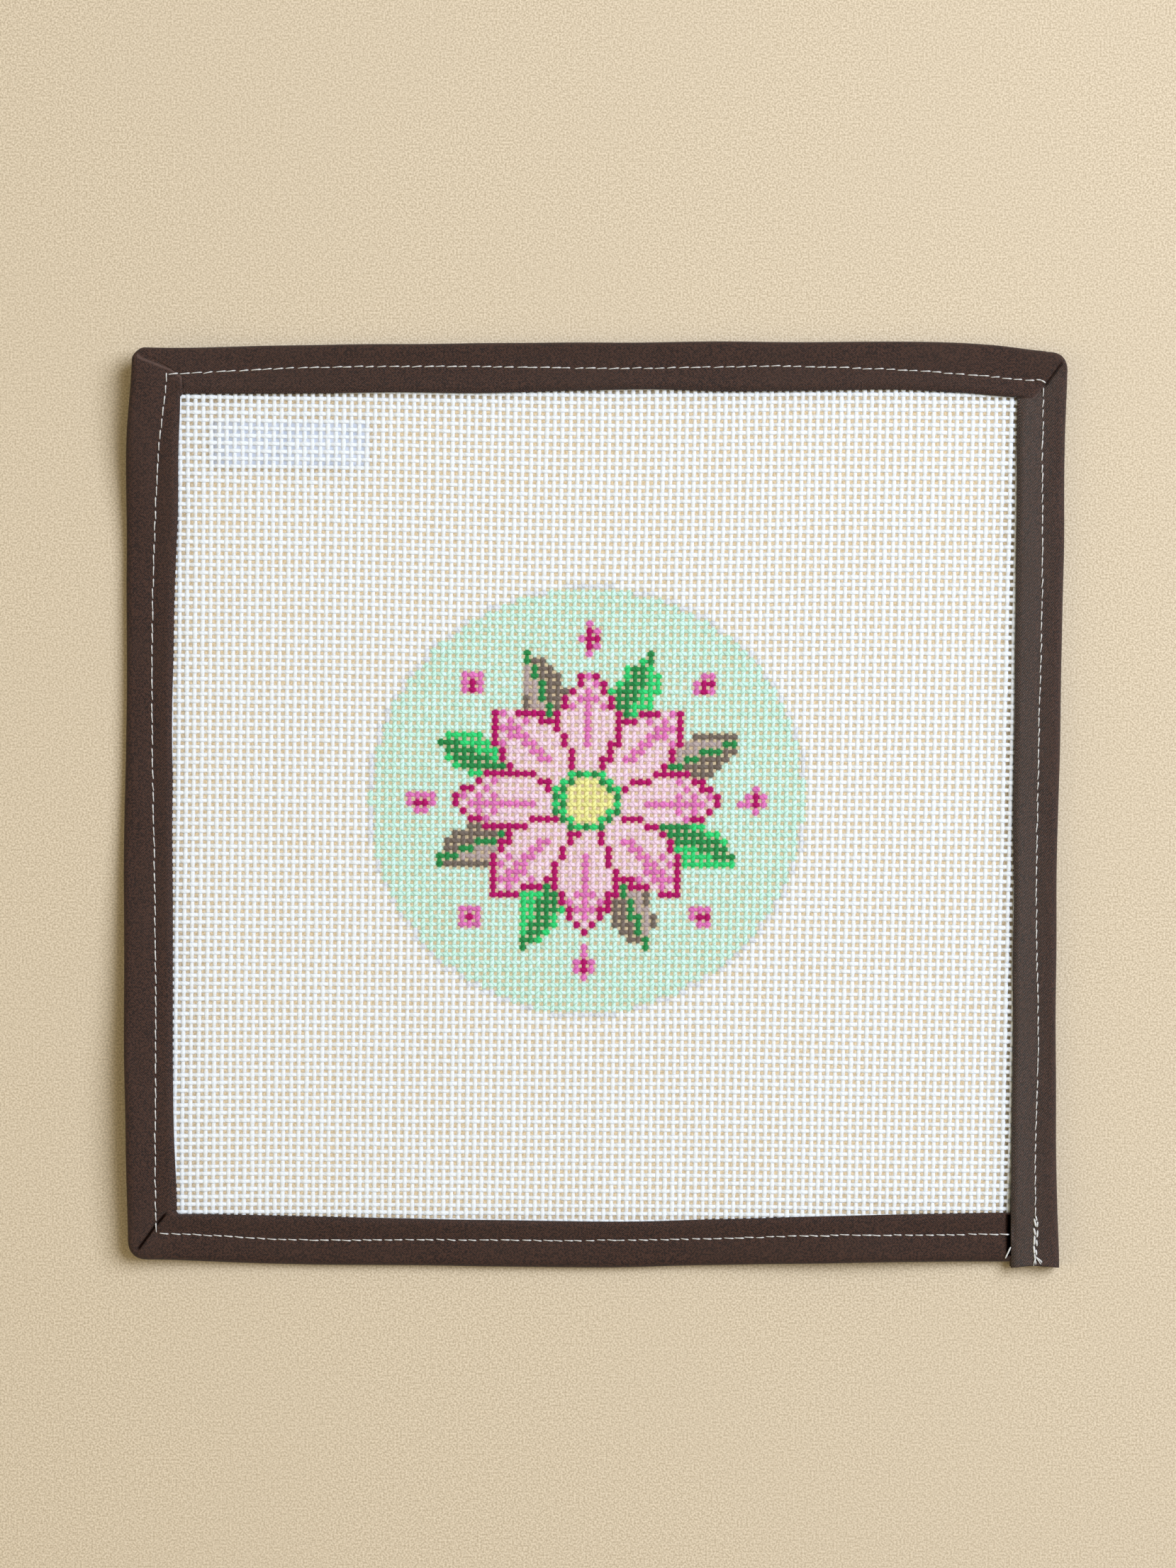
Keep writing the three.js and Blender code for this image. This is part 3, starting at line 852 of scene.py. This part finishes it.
def section_loop():
    """The loop's points: share of the way in, height, and what each belongs to: 1 for the top
    leaf's face, 0 for the rest. The round parts are a quarter turn of an ellipse."""
    leaf = np.linspace(0.155, 0.955, LEAF_POINTS)
    turn = np.radians([75, 52, 30, 10, -10, -30, -52, -75])
    fold = (0.125 * (1 - np.cos(turn)), TAPE_TOP * (0.5 - 0.5 * np.sin(turn)))
    under = np.linspace(0.95, 0.15, 9)
    parts = [
        (under, np.zeros(9), 0),
        (fold[0], fold[1], 0),
        (leaf, np.full(LEAF_POINTS, TAPE_TOP), 1),
        ([0.985, 1.0, 0.995], [TAPE_TOP - LIP_DROP - 0.07, TAPE_TOP - LIP_DROP - 0.35, SLOT_HIGH - 0.12], 0),
        ([0.96, 0.6, 0.3, FOLD_WALL, FOLD_WALL, 0.3, 0.6, 0.96],
         [SLOT_HIGH - 0.2] + [SLOT_HIGH] * 3 + [SLOT_LOW] * 4, 0),
        ([0.995, 0.99], [SLOT_LOW - 0.15, 0.25], 0),
    ]
    share = np.concatenate([np.asarray(p[0], float) for p in parts])
    height = np.concatenate([np.asarray(p[1], float) for p in parts])
    top = np.concatenate([np.full(len(p[0]), p[2]) for p in parts])
    return share, height, top


section_share, section_height, on_top = section_loop()
print(len(section_share), "points round the section")

# %% [markdown]
# ## Binding material
#
# The tape is a dark brown cotton twill, cut on the bias, so its fine ribs slant, and they slant
# another way on each side. The map is turned for each side until the ribs run along its first
# number. Ribs are bump over a fine speckle of lighter and darker fibres. Their crests are painted
# paler, a painted sheen, strongest towards each side's inner edge and on the right side, which faces
# the light and is greyed as well.


# %% Twill
RIB = 0.40  # mm from one rib of the twill to the next
KNOT = 0.62  # mm along a rib from one of its threads to the next
RIBS = {  # the ribs' slant on each side in degrees from the x axis, and the strength of the painted sheen
    "bottom": {"slant": 42, "painted_sheen": 0.35},
    "left": {"slant": 131, "painted_sheen": 0.4},
    "top": {"slant": 40, "painted_sheen": 0.5},
    "right": {"slant": 122, "painted_sheen": 1.1},
}


def binding_material():
    """Brown cotton, speckled. Its ribs are a sine of the place across them, with a slow wobble, and
    their crests are painted paler, a painted sheen, where the fibre and a second sine, along the rib,
    let them be and as far as the side's sheen share says. Painted shade darkens the folds' grooves and
    the strip beside the lap, and a painted highlight lightens some folds' edges."""
    material, tree, shader = new_material("brown_twill", 0.86)
    along, across = cloth_place(tree)
    place = object_place(tree)
    slow = noise(tree, place, 45.0, 3.0)
    grain = noise(tree, place, 2300.0, 2.0)
    stretched = add(tree, "ShaderNodeCombineXYZ", times(tree, along, 0.7), across)
    fibre = noise(tree, stretched.outputs[0], 3.2, 3.0)
    paint = add(tree, "ShaderNodeAttribute", attribute_name="paint").outputs["Color"]
    painted_sheen, painted_shade, painted_highlight = add(tree, "ShaderNodeSeparateColor", paint).outputs
    wobble = times(tree, slow, 1.6)
    turns = plus(tree, times(tree, across, 2 * math.pi / RIB), wobble)
    rib = maths(tree, "SINE", turns)
    knot = maths(tree, "SINE", plus(tree, times(tree, along, 2 * math.pi / KNOT), turns))
    speckle = between(tree, grain, 0.38, 0.62, 0.0, 1.0)
    colour = blend_colours(tree, speckle, rgba(33, 19, 13), rgba(68, 44, 33))
    crest = between(tree, rib, -0.3, 1.0, 0.0, 0.55)
    crest = times(tree, crest, between(tree, fibre, 0.3, 0.7, 0.2, 0.8))
    crest = times(tree, crest, between(tree, knot, -0.8, 0.8, 0.35, 1.0))
    crest = times(tree, crest, painted_sheen)
    # painted sheen: the rib crests are lightened towards pale grey, as much as the side's sheen share says
    colour = blend_colours(tree, crest, colour, rgba(158, 149, 150))
    colour = blend_colours(tree, between(tree, slow, 0.4, 0.65, 0.0, 0.2), colour, rgba(66, 50, 42))
    # painted sheen: on the right side, which faces the light, the brown is greyed as well
    grey = between(tree, painted_sheen, 0.55, 1.0, 0.0, 0.12)
    colour = blend_colours(tree, grey, colour, rgba(92, 98, 90))
    # painted highlight: the fold's edge is lightened, as light catching it would
    colour = blend_colours(tree, painted_highlight, colour, rgba(112, 90, 82))
    # painted shade: the folds' grooves and the strip beside the lap go near black, and shine less there
    colour = blend_colours(tree, painted_shade, colour, rgba(2, 1, 1))
    tree.links.new(colour, shader.inputs["Base Color"])
    tree.links.new(between(tree, painted_shade, 0.0, 0.8, 0.3, 0.0), shader.inputs["Specular IOR Level"])
    tree.links.new(between(tree, painted_shade, 0.0, 0.8, 0.08, 0.0), shader.inputs["Sheen Weight"])
    height = plus(tree, times(tree, rib, 0.15), times(tree, grain, 0.8))
    set_bump(tree, shader, height, 0.06 * MM)
    return material


# %% [markdown]
# ## Carrying the section along
#
# Whole arrays again: the stations on one axis, the section's points on the other.


# %% The binding
def make_binding():
    """The tape's points, (stations, section, 3), and its paint: the painted sheen on the ribs, the
    painted shade and the painted highlight. A point lies its share of the way from the outer line to
    the inner one. Its height is the section's, less the furrow, plus the folds' steps, the lap and the lift."""
    share, height, top = section_share, section_height, on_top
    count = station_count
    edges = 0.10 * soft_noise(11, (2, count), 16)
    way = outer_line - inner_line
    way /= np.linalg.norm(way, axis=1, keepdims=True)
    outer = outer_line + way * edges[0][:, None]
    inner = inner_line + way * edges[1][:, None]
    flat = outer[:, None] + (inner - outer)[:, None] * share[None, :, None]
    flat = draw_to_mitres(flat, share)
    hollow = np.sin(np.pi * np.clip(share, 0, 1)) * np.linspace(0, 1, CUT_STATIONS)[:, None]
    flat[-CUT_STATIONS:, :, 1] += CUT_HOLLOW * hollow
    distance, hole = off_the_row(flat)
    furrow = (FURROW + DIMPLE * hole**3) * np.exp(-((distance / 0.62) ** 2))
    furrow += HOLLOW * np.exp(-((distance / HOLLOW_HALF) ** 2))
    swell = soft_noise(12, (2, count), 9)
    slow = soft_noise(13, (1, count), 45)
    crown = np.sin(np.pi * np.clip(share / 0.55, 0, 1)) * 0.10 * swell[0][:, None]
    crown = crown - LIP_DROP * smooth_step((share - 0.895) / 0.105)
    lip = np.clip((share - 0.62) / 0.38, 0, 1) * (0.10 * swell[1] + 0.12 * slow[0])[:, None]
    pucker = 0.07 * np.exp(-((distance - 1.1) ** 2)) * (0.5 - hole)
    z = height[None, :] + top * (crown + lip + pucker - furrow)
    relief, painted_shade, painted_highlight = mitre_relief(flat, share)
    z = z + top * relief
    under = (height < 0.3) & (share < 0.97)
    z = z + under * 0.3 * np.exp(-((distance / 0.7) ** 2))
    climb = LAP_RISE * smooth_step((LAP_FROM_Y - flat[..., 1]) / (LAP_FROM_Y - LAP_FULL_Y))
    climb *= (side_of == 3)[:, None]
    z = z + climb * np.clip((height - 0.6) / 1.9, 0, 1)
    tuck = smooth_step((flat[..., 0] - TUCK_FROM_X) / (TUCK_FULL_X - TUCK_FROM_X)) * (side_of == 0)[:, None]
    z = z + tuck * (1.08 + z * (2.42 / TAPE_TOP) - z)
    points = np.concatenate([flat, (z + lift(flat[..., 0], flat[..., 1]))[..., None]], -1)
    # painted shadow: the bottom tape just beside the lap's inner edge is painted dark, black within about
    # 0.8 mm, for the shadow the raised lap casts on it
    beside = read_side("right", INNER, flat[..., 1]) - flat[..., 0]
    gap = smooth_step((1.5 - beside) / 0.7) * (side_of == 0)[:, None] * (share < 0.97)
    # painted sheen: each side's share, growing towards the inner edge, for how the light falls on its ribs
    painted_sheen = np.array([row["painted_sheen"] for row in RIBS.values()])[side_of][:, None] * (0.55 + 0.45 * share)
    paint = np.stack([painted_sheen, np.clip(painted_shade + gap, 0, 1), painted_highlight, np.ones_like(painted_shade)], -1)
    paint[..., 1:3] *= top[None, :, None]
    return points, paint


def cloth_maps(points, faces):
    """Each corner's place on the cloth, in mm, turned until its side's ribs run along the first
    number. Points below the top face are moved outwards by how far down they are, so that the
    pattern goes on round the fold."""
    size = len(section_share)
    flat_points = points.reshape(-1, 3)
    sides = list(RIBS)
    outs = np.array([OUT[side] for side in sides], float)
    slants = np.radians([RIBS[side]["slant"] for side in sides])
    maps = []
    for group in faces:
        number = side_of[(group // size).min(1)]
        down = (TAPE_TOP - section_height[group % size]) * (1 - on_top[group % size])
        place = flat_points[group][..., :2] + down[..., None] * outs[number][:, None]
        cos, sin = np.cos(slants[number])[:, None], np.sin(slants[number])[:, None]
        x, y = place[..., 0], place[..., 1]
        maps.append(np.stack([x * cos + y * sin, y * cos - x * sin], -1))
    return maps


points, paint = make_binding()
faces = tube_faces(1, station_count, len(section_share))
binding = make_piece("binding_tape_folded", points.reshape(-1, 3), faces, binding_material(),
                     cloth_maps(points, faces), paint.reshape(-1, 4))
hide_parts("binding_tape")

# %% [markdown]
# ## Sewing
#
# A machine stitch is a thread that comes up out of one hole, lies on the cloth, and goes down the
# next, and the bobbin's thread does the same below. Each one here is a short tube that arches out
# of the furrow, a little slanted, as they all are. At the end of the row the machine went back and
# forth to lock the thread, and left a frayed tail.


# %% Tubes for threads
SEWING_SIDES = 6


def thread_tubes(lines, radii):
    """Tubes along many lines at once, (n, rings, 3), each ring a circle square to the line's way
    on the table. Radii are (n, rings)."""
    way = np.gradient(lines, axis=1)
    way /= np.linalg.norm(way, axis=-1, keepdims=True)
    beside = np.stack([-way[..., 1], way[..., 0], np.zeros(way.shape[:2])], -1)
    beside /= np.linalg.norm(beside, axis=-1, keepdims=True)
    above = np.cross(way, beside)
    angle = 2 * np.pi * np.arange(SEWING_SIDES) / SEWING_SIDES
    ring = np.cos(angle)[:, None] * beside[:, :, None] + np.sin(angle)[:, None] * above[:, :, None]
    return lines[:, :, None] + radii[:, :, None, None] * ring


def stitch_lines(side, seed, top):
    """The lines of one row's stitches: an arch from hole to hole, highest and thickest near its
    far end, where the next stitch pulls the thread up, and a little slanted."""
    low, high, count = ROWS[side]
    pitch = (high - low) / count
    rng = np.random.default_rng(seed)
    t = np.linspace(0, 1, 7 if top else 5)
    start = low + pitch * (np.arange(count)[:, None] + rng.normal(0.07, 0.04, (count, 1)))
    at = start + pitch * rng.uniform(0.74, 0.92, (count, 1)) * t
    slant = rng.normal(0.16, 0.08, (count, 1)) * (t - 0.5) + rng.normal(0, 0.05, (count, 1))
    flat = side_point(side, at, row_reach(side, at) + slant * (1 if top else -1))
    arch = np.sin(np.pi * t**1.3) ** 0.6 * rng.uniform(0.8, 1.15, (count, 1))
    base = TAPE_TOP - FURROW - HOLLOW - 0.14 if top else 0.30
    z = base + (0.30 if top else -0.14) * arch
    if side == "right" and top:
        z = z + LAP_RISE * smooth_step((LAP_FROM_Y - flat[..., 1]) / (LAP_FROM_Y - LAP_FULL_Y))
    z = z + lift(flat[..., 0], flat[..., 1])
    swell = 0.66 + 0.36 * np.exp(-(((t - 0.82) / 0.18) ** 2)) - 0.35 * (t == 1)
    radius = (0.195 if top else 0.13) * swell * rng.uniform(0.85, 1.12, (count, 1))
    return np.concatenate([flat, z[..., None]], -1), radius


# %% [markdown]
# ## The lock at the end of the row
#
# The last centimetre has been gone over twice more, so its stitches lie across each other.

# %% Lock stitches, tails and a loose end
LOCK = [  # the ends of each stitch of the lock, x, y, x, y, and its thickness, in mm
    (110.9, -105.0, 111.3, -107.0, 0.52), (111.3, -104.3, 111.6, -105.6, 0.42),
    (111.8, -105.8, 111.6, -107.2, 0.46), (110.8, -107.4, 111.2, -109.2, 0.54),
    (111.8, -108.0, 111.6, -109.8, 0.46), (111.0, -109.4, 110.9, -111.7, 0.58),
    (111.5, -110.4, 111.6, -112.0, 0.46), (110.8, -111.9, 111.0, -113.9, 0.58),
    (111.4, -112.9, 111.5, -114.3, 0.44), (111.0, -114.0, 111.2, -115.8, 0.50),
]
TAILS = [(111.3, -114.6, 113.3, -116.5), (111.1, -115.2, 111.2, -116.6)]
CORNER = [(111.5, 107.6, 112.8, 107.5), (112.7, 107.5, 113.9, 106.8)]
LOOSE_END = (105.0, -112.2, 103.6, -115.1)
TAIL_FIBRES, TAIL_RINGS = 7, 7


def straight_threads(ends, height, radius, bow):
    """Threads between pairs of ends, bowed upwards in the middle and rounded at both ends."""
    ends = np.array(ends, float)
    t = np.linspace(0, 1, TAIL_RINGS)
    xy = ends[:, None, :2] + (ends[:, None, 2:4] - ends[:, None, :2]) * t[:, None]
    z = height + bow * np.sin(np.pi * t) + lift(xy[..., 0], xy[..., 1])
    thick = np.where((t == 0) | (t == 1), 0.55, 1.0) * np.reshape(radius, (-1, 1))
    return np.concatenate([xy, z[..., None]], -1), np.broadcast_to(thick, xy.shape[:2])


def frayed(tail, height, seed):
    """A tail as fibres that start together and part towards the end."""
    rng = np.random.default_rng(seed)
    x0, y0, x1, y1 = tail
    spread = rng.normal(0, 0.38, (TAIL_FIBRES, 2))
    short = rng.uniform(0.75, 1.05, TAIL_FIBRES)
    ends = [(x0, y0, x0 + (x1 - x0) * k + dx, y0 + (y1 - y0) * k + dy) for k, (dx, dy) in zip(short, spread)]
    lines, radii = straight_threads(ends, height, 0.13, 0.12)
    taper = np.linspace(1.0, 0.45, radii.shape[1])
    return lines, radii * taper


def sewing_material():
    """White thread with a little shine, in spots finer than the thread."""
    whites = (196, 198, 196), (240, 241, 240)
    return speckled("white_sewing_thread", 0.55, (4500.0, 2.0, 0.15), whites, 0.05, sheen=0.2)


def joined_tubes(sets):
    """Tubes of several sets as one array of points and lists of faces."""
    points, walls, firsts, lasts, total = [], [], [], [], 0
    for lines, radii in sets:
        made = thread_tubes(lines, radii)
        wall, first, last = tube_faces(*made.shape[:3])
        walls.append(wall + total)
        firsts.append(first + total)
        lasts.append(last + total)
        points.append(made.reshape(-1, 3))
        total += made.shape[0] * made.shape[1] * SEWING_SIDES
    return np.concatenate(points), [np.concatenate(group) for group in (walls, firsts, lasts)]


LAP_TOP = TAPE_TOP + LAP_RISE
thread_sets = [stitch_lines(side, 20 + k, True) for k, side in enumerate(ROWS)]
thread_sets += [stitch_lines(side, 30 + k, False) for k, side in enumerate(ROWS)]
lock_radii = 0.5 * np.array(LOCK)[:, 4]
thread_sets.append(straight_threads(LOCK, LAP_TOP - HOLLOW - FURROW + 0.02, lock_radii, 0.22))
thread_sets.append(straight_threads(CORNER, TAPE_TOP - 0.34, [0.16, 0.19], 0.16))
thread_sets += [frayed(tail, LAP_TOP - 0.32, 40 + k) for k, tail in enumerate(TAILS)]
thread_sets.append(straight_threads([LOOSE_END], TAPE_TOP + 0.12, [0.20], 0.05))
make_piece("sewing", *joined_tubes(thread_sets), sewing_material())

# %% [markdown]
# ## The blank label
#
# A strip of thin white tape is stuck to the back near the upper left corner. From the front it
# only shows as paler holes. It is one thin closed sheet, a little wavy.

# %% Label
LABEL = {"x": -77.6, "y": 91.7, "width": 40.0, "height": 12.0, "top": 1.34, "thick": 0.3}


def make_label():
    """A thin closed sheet: two grids of points, one its thickness below the other, with a rim
    between them, and a slow wave, a sine along it times a cosine across it."""
    u, v = np.meshgrid(np.linspace(-0.5, 0.5, 41), np.linspace(-0.5, 0.5, 13), indexing="ij")
    x = LABEL["x"] + LABEL["width"] * u
    y = LABEL["y"] + LABEL["height"] * v
    wave = 0.05 * np.sin(9.0 * u + 1.0) * np.cos(5.0 * v)
    upper = np.stack([x, y, LABEL["top"] + wave], -1)
    lower = upper - [0, 0, LABEL["thick"]]
    number = np.arange(u.size).reshape(u.shape)
    quads = np.stack([number[:-1, :-1], number[1:, :-1], number[1:, 1:], number[:-1, 1:]], -1)
    rim = np.concatenate([number[:, 0], number[-1, 1:], number[-2::-1, -1], number[0, -2:0:-1]])
    after = np.roll(rim, -1)
    sides = np.stack([after, rim, rim + u.size, after + u.size], -1)
    faces = [quads.reshape(-1, 4), quads.reshape(-1, 4)[:, ::-1] + u.size, sides]
    return np.concatenate([upper.reshape(-1, 3), lower.reshape(-1, 3)]), faces


def label_material():
    """White tape, a little cloudy."""
    whites = (185, 193, 205), (203, 210, 221)
    return speckled("white_label_tape", 0.5, (260.0, 3.0, 0.15), whites, 0.04)


label = make_piece("label_tape_stuck", *make_label(), label_material())
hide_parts("label_tape")

# %% [markdown]
# ## Floor and light
#
# A plain warm beige surface with a very fine grain, like heavy paper. Most of the light comes from
# one large soft square at the upper right, so each edge throws a short soft shadow down and to the
# left. A weak warm one, low on the left, lights the shadows a little, as a wall would, and a warm
# sky fills the rest.

# %% Floor
FLOOR_HALF = 3000.0


def floor_material():
    """Warm beige with a fine grain, and slow faint patches over it."""
    material, tree, shader = new_material("beige_paper", 0.95)
    place = object_place(tree)
    grain = noise(tree, place, 2100.0, 3.0)
    slow = noise(tree, place, 14.0, 2.0)
    speckle = between(tree, grain, 0.3, 0.7, 0.0, 1.0)
    colour = blend_colours(tree, speckle, rgba(193, 178, 151), rgba(235, 221, 195))
    colour = blend_colours(tree, between(tree, slow, 0.4, 0.6, 0.0, 0.15), colour, rgba(213, 199, 174))
    tree.links.new(colour, shader.inputs["Base Color"])
    set_bump(tree, shader, grain, 0.12 * MM)
    return material


floor_mesh = bpy.data.meshes.new("floor")
corners = FLOOR_HALF * MM * np.array([(-1, -1, 0), (1, -1, 0), (1, 1, 0), (-1, 1, 0)])
floor_mesh.from_pydata(corners.tolist(), [], [(0, 1, 2, 3)])
floor_mesh.materials.append(floor_material())
floor = bpy.data.objects.new("floor", floor_mesh)
bpy.context.scene.collection.objects.link(floor)

# %% Light
LAMPS = {  # where each lamp stands in metres, how wide it is, its power and its colour
    "softbox": ((1.15, 0.59, 1.525), 1.20, 41.0, (0.98, 1.03, 1.165)),
    "reflector": ((-1.11, -0.30, 0.61), 0.80, 2.6, (1.0, 0.84, 0.55)),
}
SKY = 0.30
SKY_COLOUR = (1.0, 0.83, 0.51, 1.0)

for name, (place, size, power, colour) in LAMPS.items():
    lamp_data = bpy.data.lights.new(name, "AREA")
    lamp_data.shape, lamp_data.size, lamp_data.energy = "SQUARE", size, power
    lamp_data.color = colour
    lamp = bpy.data.objects.new(name, lamp_data)
    bpy.context.scene.collection.objects.link(lamp)
    x, y, z = lamp.location = place
    lamp.rotation_euler = (math.atan2(math.hypot(x, y), z), 0, math.atan2(x, -y))
    print(name, round(math.hypot(x, y, z), 2), "m away")

world = bpy.data.worlds.new("room")
bpy.context.scene.world = world
world.use_nodes = True
world.node_tree.nodes["Background"].inputs[0].default_value = SKY_COLOUR
world.node_tree.nodes["Background"].inputs[1].default_value = SKY
bpy.context.scene.view_settings.view_transform = "Standard"
